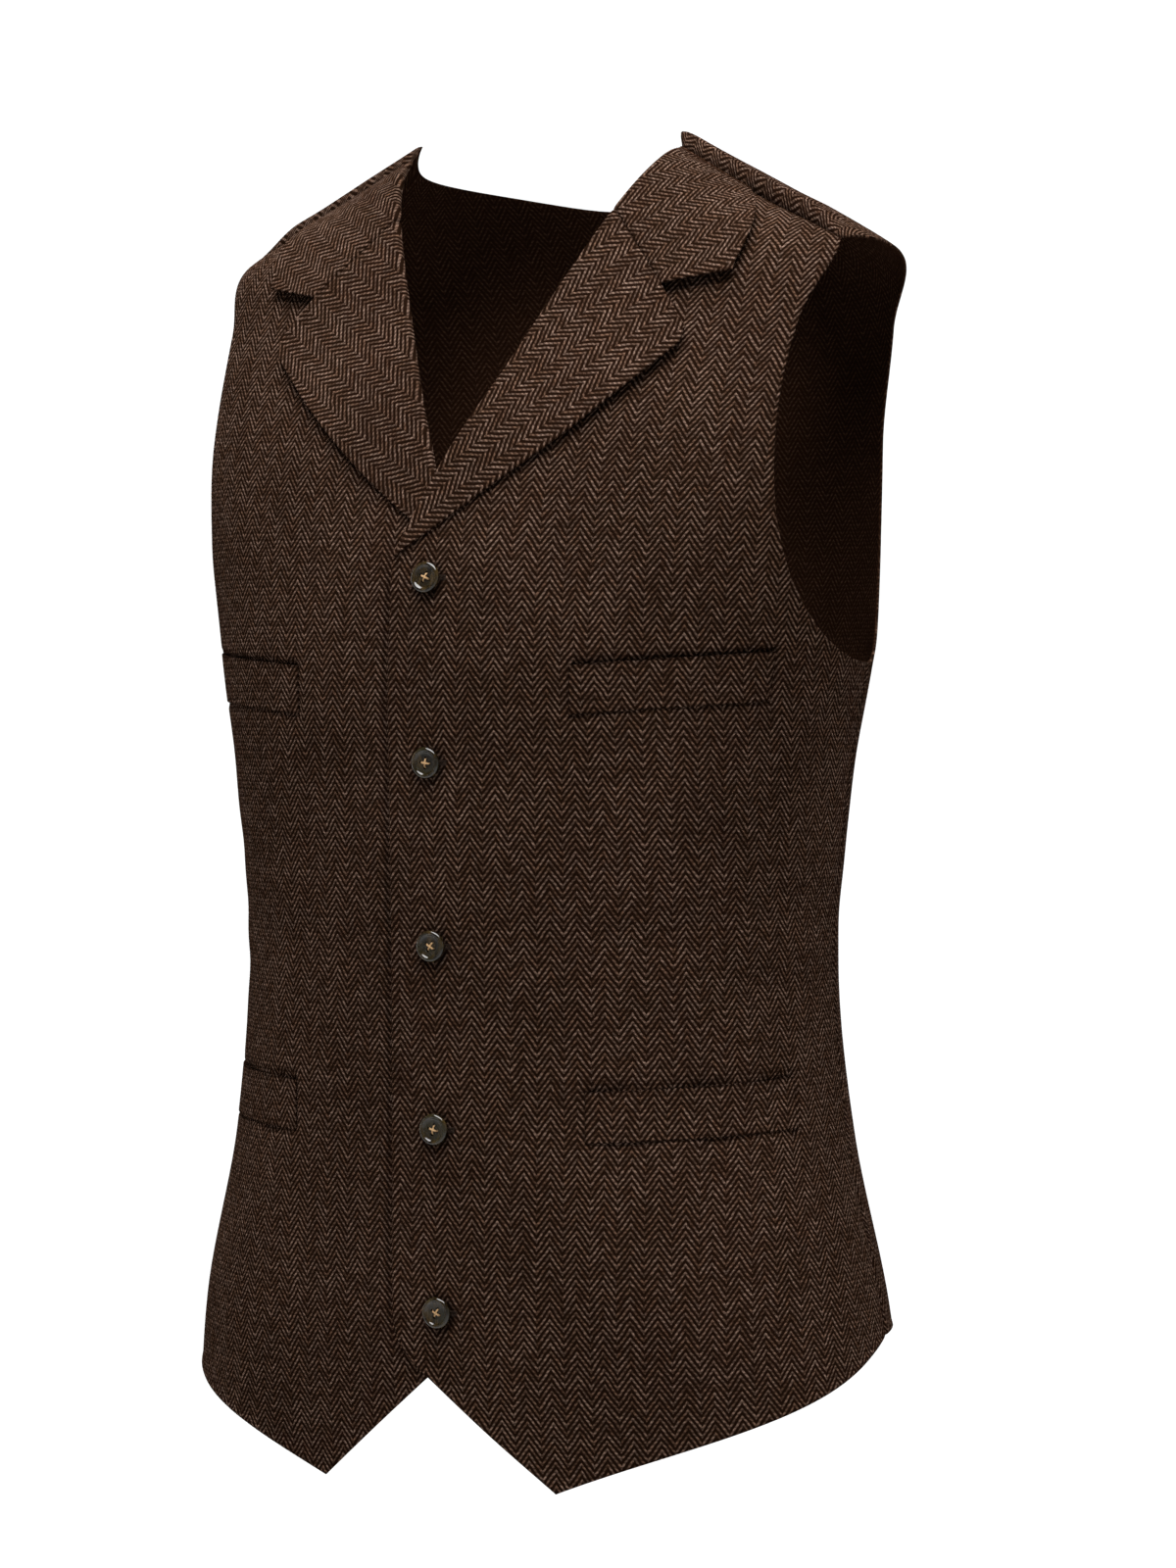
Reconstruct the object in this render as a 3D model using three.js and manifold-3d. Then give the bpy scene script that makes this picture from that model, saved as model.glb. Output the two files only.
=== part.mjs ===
// Suit waistcoat, filled out as it is when worn, in millimetres with +Z up.
// The front faces -Y and the wearer's left is +X. The origin is level with the two neck points,
// on the middle plane, where the shoulders carry the garment.
import * as THREE from "three";
import { mergeVertices } from "three/addons/utils/BufferGeometryUtils.js";
import Module from "manifold-3d";

const wasm = await Module();
wasm.setup();

// Driving sizes
const CLOTH = 1.6; // a front, back, lapel or collar: face cloth and its backing
const WELT_CLOTH = 1.2;
const WELT_GAP = 0.5; // a welt stands this far off the front
const GAP = 0.3; // between two pieces at a seam, or between two layers
const LAYER = CLOTH + GAP; // how far one layer lifts the next
const SEAM_HALF = GAP / 2;

// Horizontal sections of the garment, from the neck points down to the tips of the hem.
// A section is a rounded oval: half its width, how far it reaches to the front and to the
// back of its side line, and where that side line lies.
const BODY = [
  { z: 0, half_width: 92, front: 48, back: 53, side_y: 10 },
  { z: -25, half_width: 138, front: 64, back: 68, side_y: 11 },
  { z: -52, half_width: 190, front: 78, back: 82, side_y: 11 },
  { z: -90, half_width: 202, front: 93, back: 97, side_y: 7 },
  { z: -150, half_width: 202, front: 114, back: 106, side_y: 0 },
  { z: -200, half_width: 191, front: 126, back: 111, side_y: -3 },
  { z: -255, half_width: 180, front: 132, back: 109, side_y: -5 },
  { z: -340, half_width: 167, front: 129, back: 99, side_y: -7 },
  { z: -420, half_width: 161, front: 127, back: 96, side_y: -7 },
  { z: -510, half_width: 169, front: 125, back: 110, side_y: -8 },
  { z: -600, half_width: 189, front: 122, back: 123, side_y: -10 },
  { z: -690, half_width: 198, front: 113, back: 128, side_y: -10 },
];
const OVAL_POWER = 2.3; // 2 is an ellipse, more is squarer

// The left front stands one layer off the sections, because it laps over the right front,
// and one layer more where it also covers the end of the right lapel, which is
// between "deep" heights. It lies back on the sections above the crossing and out towards the side.
const LAP_DEEP = { from: -250, full: -216, until: -165, gone: -115 };
const LAP_ACROSS = { full: 26, gone: 78 };

// Outline of the left front, as [x, z] on the front
const EDGE_X = -19; // the front edge, past the middle
const BREAK_Z = -213; // where the lapel starts to roll
const EDGE_END_Z = -598; // where the front edge starts to curve into the cutaway
const CUTAWAY_START = [0, -628];
const HEM_TIP = [68, -684.5];
const HEM_BOW = 2.5; // how far the hem between tip and side seam bows down
const NECK_POINT = [79.5, 1.5];
const ROLL_ROOM = GAP + CLOTH + CLOTH / 2; // the lapel's roll stands this far past the neck edge

// Places that are turned away from the front, as [degrees round from the middle of the front, z]
const SIDE_SEAM = 97;
const SIDE_HEM_Z = -611;
const UNDERARM_Z = -265;
const SHOULDER_END = [80.8, -48.5];
const ARMHOLE_FRONT = [[63, -93], [55, UNDERARM_Z]]; // control points between shoulder end and underarm
const ARMHOLE_BACK = [[130, -25], [118, UNDERARM_Z]];
const UNDERARM_ROW_Z = -300; // the crosswise row that ends at the underarm starts here at the middle
const BACK_HEM_Z = -597;
const BACK_NECK_Z = -20;
const BACK_NECK = [[150, -20], [100, 1]]; // control points between centre back and neck point

// Lapel and collar, as [x, z] on the front
const GORGE_Z = -34; // the gorge seam meets the neck edge at this height
const NOTCH = [102, -75.5]; // and ends at the notch
const LAPEL_TIP = [119, -98.5];
const LAPEL_TIP_LOW = [118, -106];
const COLLAR_CORNER = [136, -69];
const COLLAR_CORNER_TOP = [136.5, -64];
const COLLAR_SHARE = 0.47; // of the shoulder seam
const COLLAR_HOLLOW = 1.2; // degrees, how far its outer edge dips in between corner and seam
const LAPEL_BELLY = 4.8; // how far the outer edge bows out
const EDGE_LIFT = 2.2; // a lapel's free edge stands this far off the front
const ROLL_END = -50; // degrees, how far the rolled edge turns in behind the neck edge
const ROLL_END_LAPPED = -8; // and where the two neck edges lie on each other, below this height
const ROLL_LAPPED_Z = -168;

// Welts, as the degrees and heights of their two ends
const WELTS = [
  { name: "chest", inner: 33, outer: 69.4, inner_top: -267, outer_top: -260, height: 25 },
  { name: "waist", inner: 37, outer: 79, inner_top: -481, outer_top: -475.5, height: 26 },
];

// Buttons
const BUTTON_COUNT = 5;
const BUTTON_RADIUS = 8;
const BUTTON_THICK = 3;
const BUTTON_FIRST = [2.5, -223.5]; // [x, z] of the top one
const BUTTON_LAST = [8, -594.5];
const HOLE_RADIUS = 0.85;
const HOLE_OFFSET = 1.7;
const THREAD_ROOM = 0.4; // the button's back stands off the cloth on its thread

// Number of steps along each stretch of a piece
const STEPS = {
  cutaway: 4, corner: 3, low_edge: 8, high_edge: 3, front_across: 14,
  low_back: 11, high_back: 8, back_neck: 8, back_across: 11,
  lapel_outer: 9, lapel_top: 3, lapel_across: 5, roll: 4,
  collar_lower: 2, collar_outer: 3, collar_across: 5,
  welt_along: 11, welt_up: 2, button_round: 18, hole_round: 6,
};

const radians = THREE.MathUtils.degToRad;
const mix = THREE.MathUtils.lerp;
const smooth = THREE.MathUtils.smoothstep;

// A smooth curve through one column of a table whose rows go down in z
function curveOf(rows, column) {
  const slope = (a, b) => (b[column] - a[column]) / (b.z - a.z);
  const slopes = rows.map((row, i) => {
    if (i === 0) return slope(rows[0], rows[1]);
    if (i === rows.length - 1) return slope(rows[i - 1], row);
    const above = rows[i - 1].z - row.z;
    const below = row.z - rows[i + 1].z;
    return (below * slope(rows[i - 1], row) + above * slope(row, rows[i + 1])) / (above + below);
  });
  return (z) => {
    if (z >= rows[0].z) return rows[0][column] + (z - rows[0].z) * slopes[0];
    let i = 1;
    while (i < rows.length - 1 && z < rows[i].z) i += 1;
    const [high, low] = [rows[i - 1], rows[i]];
    const span = low.z - high.z;
    const t = (z - high.z) / span;
    const s = 1 - t;
    const ends = (1 + 2 * t) * s * s * high[column] + t * t * (3 - 2 * t) * low[column];
    return ends + span * (t * s * s * slopes[i - 1] - t * t * s * slopes[i]);
  };
}

const halfWidth = curveOf(BODY, "half_width");
const frontReach = curveOf(BODY, "front");
const backReach = curveOf(BODY, "back");
const sideY = curveOf(BODY, "side_y");

// The garment's form: the point at an angle round the section at height z
function formPoint(phi, z) {
  const [s, c] = [Math.sin(phi), Math.cos(phi)];
  const reach = c > 0 ? frontReach(z) : backReach(z);
  const sum = Math.pow(Math.abs(s) / halfWidth(z), OVAL_POWER) + Math.pow(Math.abs(c) / reach, OVAL_POWER);
  const r = Math.pow(sum, -1 / OVAL_POWER);
  return new THREE.Vector3(r * s, sideY(z) - r * c, z);
}

function formNormal(phi, z) {
  const around = formPoint(phi + 0.002, z).sub(formPoint(phi - 0.002, z));
  const up = formPoint(phi, z + 0.5).sub(formPoint(phi, z - 0.5));
  return around.cross(up).normalize();
}

// The angle at which the front of the section at height z reaches x
function angleAt(x, z) {
  const share = 1 - Math.pow(Math.abs(x) / halfWidth(z), OVAL_POWER);
  return Math.atan2(x, frontReach(z) * Math.pow(share, 1 / OVAL_POWER));
}

const onFront = ([x, z]) => ({ phi: angleAt(x, z), z });
const turned = ([degrees, z]) => ({ phi: radians(degrees), z });

function lapLift(phi, z) {
  const { from, full, until, gone } = LAP_DEEP;
  const layers = 1 + smooth(z, from, full) - 2 * smooth(z, until, gone);
  return LAYER * layers * (1 - smooth(formPoint(phi, z).x, LAP_ACROSS.full, LAP_ACROSS.gone));
}

// A point of the cloth: off the form by "off", and by the lap where the piece lies on the left front
function clothPoint({ phi, z }, off, lapped) {
  const lift = off + (lapped ? lapLift(phi, z) : 0);
  return formPoint(phi, z).addScaledVector(formNormal(phi, z), lift);
}

// Stretches of an outline, each a list of [a, z] pairs
function line(from, to, steps) {
  const pair = (t) => [mix(from[0], to[0], t), mix(from[1], to[1], t)];
  return Array.from({ length: steps + 1 }, (_, i) => pair(i / steps));
}

function bezier(from, controls, to, steps) {
  const curve = new THREE.CubicBezierCurve(...[from, ...controls, to].map((p) => new THREE.Vector2(...p)));
  return curve.getPoints(steps).map((p) => [p.x, p.y]);
}

function chain(...stretches) {
  return stretches.flatMap((stretch, i) => (i === 0 ? stretch : stretch.slice(1)));
}

const between = (a, b, t) => ({ phi: mix(a.phi, b.phi, t), z: mix(a.z, b.z, t) });

// Moves a place sideways round the section by a distance
function shifted(place, distance) {
  const p = formPoint(place.phi, place.z);
  return { phi: place.phi + distance / Math.hypot(p.x, p.y - sideY(place.z)), z: place.z };
}

// Cells of a piece, row by row between its two outlines
function rowsBetween(left, right, across) {
  return left.map((start, i) =>
    Array.from({ length: across + 1 }, (_, j) => between(start, right[i], j / across)));
}

// A closed wall from two grids of points, the outer one and the one behind it
function wall(outer, inner, mirrored) {
  const rows = outer.length;
  const columns = outer[0].length;
  const positions = [...outer.flat(), ...inner.flat()].flatMap((p) => [mirrored ? -p.x : p.x, p.y, p.z]);
  const face = (i, j) => i * columns + j;
  const back = (i, j) => rows * columns + face(i, j);
  const index = [];
  const quad = (a, b, c, d) => {
    const turn = mirrored ? [a, c, b, a, d, c] : [a, b, c, a, c, d];
    index.push(...turn);
  };
  for (let i = 0; i < rows - 1; i += 1) {
    for (let j = 0; j < columns - 1; j += 1) {
      quad(face(i, j), face(i, j + 1), face(i + 1, j + 1), face(i + 1, j));
      quad(back(i, j), back(i + 1, j), back(i + 1, j + 1), back(i, j + 1));
    }
    quad(face(i, 0), face(i + 1, 0), back(i + 1, 0), back(i, 0));
    quad(face(i, columns - 1), back(i, columns - 1), back(i + 1, columns - 1), face(i + 1, columns - 1));
  }
  for (let j = 0; j < columns - 1; j += 1) {
    quad(face(0, j), back(0, j), back(0, j + 1), face(0, j + 1));
    quad(face(rows - 1, j), face(rows - 1, j + 1), back(rows - 1, j + 1), back(rows - 1, j));
  }
  const geometry = new THREE.BufferGeometry();
  geometry.setAttribute("position", new THREE.Float32BufferAttribute(positions, 3));
  geometry.setIndex(index);
  geometry.computeVertexNormals();
  return geometry;
}

// The neck edge of a front between two heights, set back from the lapel's roll
function neckEdge(fromZ, toZ, steps) {
  const neckX = (z) => mix(EDGE_X, NECK_POINT[0], (z - BREAK_Z) / (NECK_POINT[1] - BREAK_Z)) + ROLL_ROOM;
  return line([neckX(fromZ), fromZ], [neckX(toZ), toZ], steps).map(onFront);
}

const LAPEL_ROWS = STEPS.lapel_outer + STEPS.lapel_top;
const COLLAR_ROWS = STEPS.collar_lower + STEPS.collar_outer;
const lapelEdge = neckEdge(BREAK_Z, GORGE_Z, LAPEL_ROWS);
const collarEdge = neckEdge(GORGE_Z, NECK_POINT[1], COLLAR_ROWS);

// The shoulder seam, from the neck point out
const shoulderSeam = (t) => between(collarEdge[COLLAR_ROWS], turned(SHOULDER_END), t);

function frontGeometry(lapped, mirrored) {
  const lowRows = STEPS.cutaway + STEPS.corner;
  const frontEdge = chain(
    line(HEM_TIP, CUTAWAY_START, STEPS.cutaway),
    bezier(CUTAWAY_START, [[-10, -620], [EDGE_X, -612]], [EDGE_X, EDGE_END_Z], STEPS.corner),
    line([EDGE_X, EDGE_END_Z], [EDGE_X, UNDERARM_ROW_Z], STEPS.low_edge),
    line([EDGE_X, UNDERARM_ROW_Z], [EDGE_X, BREAK_Z - ROLL_ROOM], STEPS.high_edge),
  ).map(onFront);
  const left = [...frontEdge, ...lapelEdge, ...collarEdge.slice(1)];
  const lowSide = [SIDE_SEAM, mix(SIDE_HEM_Z, UNDERARM_Z, 0.15)];
  const armholeRows = left.length - 1 - lowRows - STEPS.low_edge;
  const right = chain(
    line([SIDE_SEAM, SIDE_HEM_Z], lowSide, lowRows),
    line(lowSide, [SIDE_SEAM, UNDERARM_Z], STEPS.low_edge),
    bezier([SIDE_SEAM, UNDERARM_Z], [...ARMHOLE_FRONT].reverse(), SHOULDER_END, armholeRows),
  ).map(turned).map((place) => shifted(place, -SEAM_HALF));
  const cells = rowsBetween(left, right, STEPS.front_across);
  const last = cells.length - 1;
  cells[last] = cells[last].map((place) => shifted(place, -SEAM_HALF));
  for (let i = 0; i < lowRows; i += 1) {
    const bow = HEM_BOW * (1 - i / lowRows);
    cells[i] = cells[i].map(({ phi, z }, j) => ({ phi, z: z - bow * Math.sin(Math.PI * j / STEPS.front_across) }));
  }
  const layer = (off) => cells.map((row) => row.map((place) => clothPoint(place, off, lapped)));
  return wall(layer(0), layer(-CLOTH), mirrored);
}

function backGeometry(mirrored) {
  const neckPoint = [THREE.MathUtils.radToDeg(shoulderSeam(0).phi), NECK_POINT[1]];
  const right = chain(
    line([180, BACK_HEM_Z], [180, UNDERARM_ROW_Z], STEPS.low_back),
    line([180, UNDERARM_ROW_Z], [180, BACK_NECK_Z], STEPS.high_back),
    bezier([180, BACK_NECK_Z], BACK_NECK, neckPoint, STEPS.back_neck),
  ).map(turned).map((place) => shifted(place, -SEAM_HALF));
  const left = chain(
    line([SIDE_SEAM, SIDE_HEM_Z], [SIDE_SEAM, UNDERARM_Z], STEPS.low_back),
    bezier([SIDE_SEAM, UNDERARM_Z], [...ARMHOLE_BACK].reverse(), SHOULDER_END, STEPS.high_back + STEPS.back_neck),
  ).map(turned).map((place) => shifted(place, SEAM_HALF));
  const cells = rowsBetween(left, right, STEPS.back_across);
  const last = cells.length - 1;
  cells[last] = cells[last].map((_, j) => shifted(shoulderSeam(1 - j / STEPS.back_across), SEAM_HALF));
  const layer = (off) => cells.map((row) => row.map((place) => clothPoint(place, off, false)));
  return wall(layer(0), layer(-CLOTH), mirrored);
}

// A lapel or collar: it rolls round the neck edge and lies on the front.
// "inner" is the neck edge and "outer" the free edge, "lifts" how far each row's free edge stands off.
function rolledGeometry(inner, outer, across, lifts, lapped, mirrored) {
  const middle = inner.map((place) => clothPoint(place, -CLOTH / 2, lapped));
  const layer = (nearness) => inner.map((place, i) => {
    const along = middle[Math.min(i + 1, middle.length - 1)].clone().sub(middle[Math.max(i - 1, 0)]).normalize();
    const out = formNormal(place.phi, place.z);
    const away = out.clone().cross(along).normalize();
    const radius = CLOTH / 2 + GAP + nearness;
    const roll = Array.from({ length: STEPS.roll }, (_, k) => {
      const end = mix(ROLL_END_LAPPED, ROLL_END, smooth(place.z, ROLL_LAPPED_Z, ROLL_LAPPED_Z + 15));
      const turn = radians(mix(end, 90, k / STEPS.roll));
      return middle[i].clone()
        .addScaledVector(out, radius * Math.sin(turn))
        .addScaledVector(away, radius * Math.cos(turn));
    });
    const flat = Array.from({ length: across + 1 }, (_, j) => {
      const t = j / across;
      return clothPoint(between(place, outer[i], t), GAP + nearness + lifts[i] * t * t, lapped);
    });
    return [...roll, ...flat];
  });
  return wall(layer(CLOTH), layer(0), mirrored);
}

function lapelGeometry(lapped, mirrored) {
  const inner = [...lapelEdge];
  const start = [EDGE_X + ROLL_ROOM + 3, BREAK_Z + 3];
  const bow = (t) => LAPEL_BELLY * 4 * t * (1 - t);
  const outerEdge = line(start, LAPEL_TIP_LOW, STEPS.lapel_outer)
    .map(([x, z], i) => [x + bow(i / STEPS.lapel_outer) * 0.6, z - bow(i / STEPS.lapel_outer) * 0.8]);
  const topEdge = chain([LAPEL_TIP_LOW, LAPEL_TIP], line(LAPEL_TIP, NOTCH, STEPS.lapel_top - 1));
  const outer = chain(outerEdge, topEdge).map(onFront);
  const lifts = inner.map((_, i) => EDGE_LIFT * smooth(i, 2, STEPS.lapel_outer));
  const gorge = outer.length - 1;
  inner[gorge] = { ...inner[gorge], z: inner[gorge].z - SEAM_HALF };
  outer[gorge] = { ...outer[gorge], z: outer[gorge].z - SEAM_HALF };
  return rolledGeometry(inner, outer, STEPS.lapel_across, lifts, lapped, mirrored);
}

function collarGeometry(lapped, mirrored) {
  const inner = [...collarEdge];
  const lower = chain(line(NOTCH, COLLAR_CORNER, STEPS.collar_lower - 1), [COLLAR_CORNER, COLLAR_CORNER_TOP]);
  const seamEnd = shoulderSeam(COLLAR_SHARE);
  const top = onFront(COLLAR_CORNER_TOP);
  const side = Array.from({ length: STEPS.collar_outer }, (_, i) => {
    const t = (i + 1) / STEPS.collar_outer;
    const place = between(top, seamEnd, t);
    return { phi: place.phi - radians(COLLAR_HOLLOW) * Math.sin(Math.PI * t), z: place.z };
  });
  const outer = [...lower.map(onFront), ...side];
  const lifts = inner.map((_, i) => EDGE_LIFT * (1 - smooth(i, STEPS.collar_lower, COLLAR_ROWS)));
  inner[0] = { ...inner[0], z: inner[0].z + SEAM_HALF };
  outer[0] = { ...outer[0], z: outer[0].z + SEAM_HALF };
  inner[COLLAR_ROWS] = shifted(inner[COLLAR_ROWS], -SEAM_HALF);
  outer[COLLAR_ROWS] = shifted(outer[COLLAR_ROWS], -SEAM_HALF);
  return rolledGeometry(inner, outer, STEPS.collar_across, lifts, lapped, mirrored);
}

function weltGeometry(welt, mirrored) {
  const cells = Array.from({ length: STEPS.welt_up + 1 }, (_, i) =>
    Array.from({ length: STEPS.welt_along + 1 }, (_unused, j) => {
      const t = j / STEPS.welt_along;
      const top = mix(welt.inner_top, welt.outer_top, t);
      return turned([mix(welt.inner, welt.outer, t), top - welt.height * (1 - i / STEPS.welt_up)]);
    }));
  const layer = (off) => cells.map((row) => row.map((place) => clothPoint(place, off, !mirrored)));
  return wall(layer(WELT_GAP + WELT_CLOTH), layer(WELT_GAP), mirrored);
}

function solidOf(geometry) {
  const bare = geometry.clone();
  bare.deleteAttribute("normal");
  bare.deleteAttribute("uv");
  const merged = mergeVertices(bare);
  const mesh = new wasm.Mesh({
    numProp: 3,
    vertProperties: new Float32Array(merged.attributes.position.array),
    triVerts: new Uint32Array(merged.index.array),
  });
  return new wasm.Manifold(mesh);
}

function geometryOf(solid) {
  const mesh = solid.getMesh();
  const geometry = new THREE.BufferGeometry();
  geometry.setAttribute("position", new THREE.Float32BufferAttribute(mesh.vertProperties, 3));
  geometry.setIndex(Array.from(mesh.triVerts));
  geometry.computeVertexNormals();
  return geometry;
}

// A sewn-through button: a dished disc with a raised rim and four holes, its back at z = 0
function buttonGeometry() {
  const profile = [
    [0, 0], [BUTTON_RADIUS - 1.4, 0], [BUTTON_RADIUS, 1.2], [BUTTON_RADIUS - 0.3, BUTTON_THICK - 0.6],
    [BUTTON_RADIUS - 1.3, BUTTON_THICK], [BUTTON_RADIUS - 2.4, BUTTON_THICK - 0.5],
    [BUTTON_RADIUS - 3.6, BUTTON_THICK - 1.2], [0, BUTTON_THICK - 1.3],
  ].map(([r, h]) => new THREE.Vector2(r, h));
  const disc = new THREE.LatheGeometry(profile, STEPS.button_round).rotateX(Math.PI / 2);
  let solid = solidOf(disc);
  for (const x of [-HOLE_OFFSET, HOLE_OFFSET]) {
    for (const y of [-HOLE_OFFSET, HOLE_OFFSET]) {
      const pin = new THREE.CylinderGeometry(HOLE_RADIUS, HOLE_RADIUS, 4 * BUTTON_THICK, STEPS.hole_round);
      solid = solid.subtract(solidOf(pin.rotateX(Math.PI / 2).translate(x, y, 0)));
    }
  }
  return geometryOf(solid);
}

const tweed = (name, color) => new THREE.MeshStandardMaterial({ name, color, roughness: 0.95, metalness: 0 });

const waistcoat = new THREE.Group();
waistcoat.name = "suit_waistcoat";

function addPiece(name, geometry, material) {
  const mesh = new THREE.Mesh(geometry, material);
  mesh.name = name;
  waistcoat.add(mesh);
  return mesh;
}

// Cloth pieces of each side. The left front and all that lies on it are lapped over the right front.
for (const side of ["left", "right"]) {
  const mirrored = side === "right";
  const lapped = !mirrored;
  addPiece(`front_${side}`, frontGeometry(lapped, mirrored), tweed("front_tweed", 0x3a261a));
  addPiece(`back_${side}`, backGeometry(mirrored), tweed("back_tweed", 0x35231a));
  addPiece(`lapel_${side}`, lapelGeometry(lapped, mirrored), tweed("lapel_tweed", 0x4a3020));
  addPiece(`collar_${side}`, collarGeometry(lapped, mirrored), tweed("collar_tweed", 0x4a3020));
  for (const welt of WELTS) {
    addPiece(`welt_${welt.name}_${side}`, weltGeometry(welt, mirrored), tweed("welt_tweed", 0x402a1c));
  }
}

// Buttons down the left front
const horn = new THREE.MeshStandardMaterial({ name: "button_horn", color: 0x2a2216, roughness: 0.25, metalness: 0 });
const button = buttonGeometry();
for (let i = 0; i < BUTTON_COUNT; i += 1) {
  const t = i / (BUTTON_COUNT - 1);
  const place = onFront([mix(BUTTON_FIRST[0], BUTTON_LAST[0], t), mix(BUTTON_FIRST[1], BUTTON_LAST[1], t)]);
  const mesh = addPiece(`button_${i + 1}`, button.clone(), horn);
  mesh.position.copy(clothPoint(place, THREAD_ROOM, true));
  mesh.quaternion.setFromUnitVectors(new THREE.Vector3(0, 0, 1), formNormal(place.phi, place.z));
}

export default waistcoat;
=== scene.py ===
"""Suit waistcoat in herringbone tweed: finer cloth, weave, seams, buttons, camera and studio.

Shapes are worked out in millimetres, with +Z up, the front to -Y and the wearer's left to +X,
and are scaled to metres when a mesh is made. Its form is that of the solids it replaces.
"""

import math

import bmesh
import bpy
import numpy as np
from mathutils import Matrix, Vector


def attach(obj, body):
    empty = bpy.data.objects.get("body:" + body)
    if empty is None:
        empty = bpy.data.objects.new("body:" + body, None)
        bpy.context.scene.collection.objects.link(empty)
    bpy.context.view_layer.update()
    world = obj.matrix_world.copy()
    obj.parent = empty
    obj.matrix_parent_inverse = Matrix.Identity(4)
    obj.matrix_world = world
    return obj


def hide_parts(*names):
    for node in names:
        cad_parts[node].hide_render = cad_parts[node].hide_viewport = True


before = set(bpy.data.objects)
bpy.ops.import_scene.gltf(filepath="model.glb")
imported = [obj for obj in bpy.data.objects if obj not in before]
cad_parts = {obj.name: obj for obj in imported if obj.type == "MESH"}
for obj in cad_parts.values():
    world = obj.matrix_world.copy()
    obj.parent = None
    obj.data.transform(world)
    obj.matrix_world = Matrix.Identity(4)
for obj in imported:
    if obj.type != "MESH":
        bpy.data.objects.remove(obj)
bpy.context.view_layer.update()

MM = 0.001

# Horizontal sections, from the neck points down to the tips of the hem, as rounded ovals
BODY = [
    dict(z=0, half_width=92, front=48, back=53, side_y=10),
    dict(z=-25, half_width=138, front=64, back=68, side_y=11),
    dict(z=-52, half_width=190, front=78, back=82, side_y=11),
    dict(z=-90, half_width=202, front=93, back=97, side_y=7),
    dict(z=-150, half_width=202, front=114, back=106, side_y=0),
    dict(z=-200, half_width=191, front=126, back=111, side_y=-3),
    dict(z=-255, half_width=180, front=132, back=109, side_y=-5),
    dict(z=-340, half_width=167, front=129, back=99, side_y=-7),
    dict(z=-420, half_width=161, front=127, back=96, side_y=-7),
    dict(z=-510, half_width=169, front=125, back=110, side_y=-8),
    dict(z=-600, half_width=189, front=122, back=123, side_y=-10),
    dict(z=-690, half_width=198, front=113, back=128, side_y=-10),
]
OVAL_POWER = 2.3

# Cloth
CLOTH = 1.6
GAP = 0.3
LAYER = CLOTH + GAP
SEAM_HALF = 0.04  # sewn panels all but touch
WELT_CLOTH = 1.0
WELT_GAP = 0.3
WELT_PRESS = 1.05  # how far a welt is pressed into the front
EDGE_LEAST = 0.2  # share of its half thickness that the cloth keeps at its very edge

# Where the left front is lifted over the right front and over the end of the right lapel
LAP_DEEP = dict(start=-250, full=-216, until=-165, gone=-115)
LAP_ACROSS = dict(full=26, gone=78)

# Outline of a front, as (x, z)
EDGE_X = -19
BREAK_Z = -213
EDGE_END_Z = -598
CUTAWAY_START = (0, -628)
CUTAWAY_BEND = ((-10, -620), (EDGE_X, -612))
HEM_TIP = (68, -684.5)
HEM_BOW = 2.5
NECK_POINT = (79.5, 1.5)
ROLL_ROOM = GAP + CLOTH + CLOTH / 2

# Places turned away from the front, as (degrees from the middle of the front, z)
SIDE_SEAM = 97
SIDE_HEM_Z = -611
UNDERARM_Z = -265
SHOULDER_END = (80.8, -48.5)
ARMHOLE_FRONT = ((63, -93), (55, UNDERARM_Z))
ARMHOLE_BACK = ((130, -25), (118, UNDERARM_Z))
UNDERARM_ROW_Z = -300
BACK_HEM_Z = -597
BACK_NECK_Z = -20
BACK_NECK = ((150, -20), (100, 1))
LOW_SIDE_SHARE = 0.15  # of the side seam, that the rows of the cutaway take up

# Lapel and collar, as (x, z)
GORGE_Z = -34
NOTCH = (102, -75.5)
LAPEL_TIP = (119, -98.5)
LAPEL_TIP_LOW = (118, -106)
COLLAR_CORNER = (136, -69)
COLLAR_CORNER_TOP = (136.5, -64)
COLLAR_SHARE = 0.47
COLLAR_HOLLOW = 1.2
LAPEL_BELLY = 4.8
LAPEL_LIFT = 3.4
COLLAR_LIFT = 3.8
ROLL_END = -50
ROLL_END_LAPPED = -8
ROLL_LAPPED_Z = -168

WELTS = dict(
    chest=dict(inner=33, outer=69.4, inner_top=-267, outer_top=-260, height=25),
    waist=dict(inner=37, outer=79, inner_top=-481, outer_top=-475.5, height=26),
)

# Buttons
BUTTON_COUNT = 5
BUTTON_RADIUS = 8
BUTTON_FIRST = (2.5, -223.5)
BUTTON_LAST = (8, -594.5)
THREAD_ROOM = 0.4

# Soft creases, hardly deep enough to see: the middle of each in degrees and z, its length and
# width, its depth and how far it leans from level
CREASES_FRONT = [
    dict(deg=52, z=-402, length=120, width=13, depth=0.9, lean=12),
    dict(deg=74, z=-428, length=90, width=11, depth=1.1, lean=-8),
    dict(deg=66, z=-362, length=80, width=15, depth=0.7, lean=20),
    dict(deg=88, z=-388, length=70, width=12, depth=1.0, lean=4),
    dict(deg=84, z=-300, length=70, width=14, depth=1.0, lean=48),
    dict(deg=70, z=-296, length=60, width=13, depth=0.7, lean=62),
    dict(deg=22, z=-318, length=75, width=12, depth=0.5, lean=6),
    dict(deg=20, z=-410, length=95, width=13, depth=0.6, lean=-4),
    dict(deg=24, z=-500, length=80, width=14, depth=0.5, lean=-10),
    dict(deg=58, z=-560, length=110, width=22, depth=0.9, lean=80),
    dict(deg=34, z=-600, length=90, width=20, depth=0.6, lean=96),
    dict(deg=48, z=-170, length=70, width=18, depth=0.7, lean=70),
]
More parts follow.
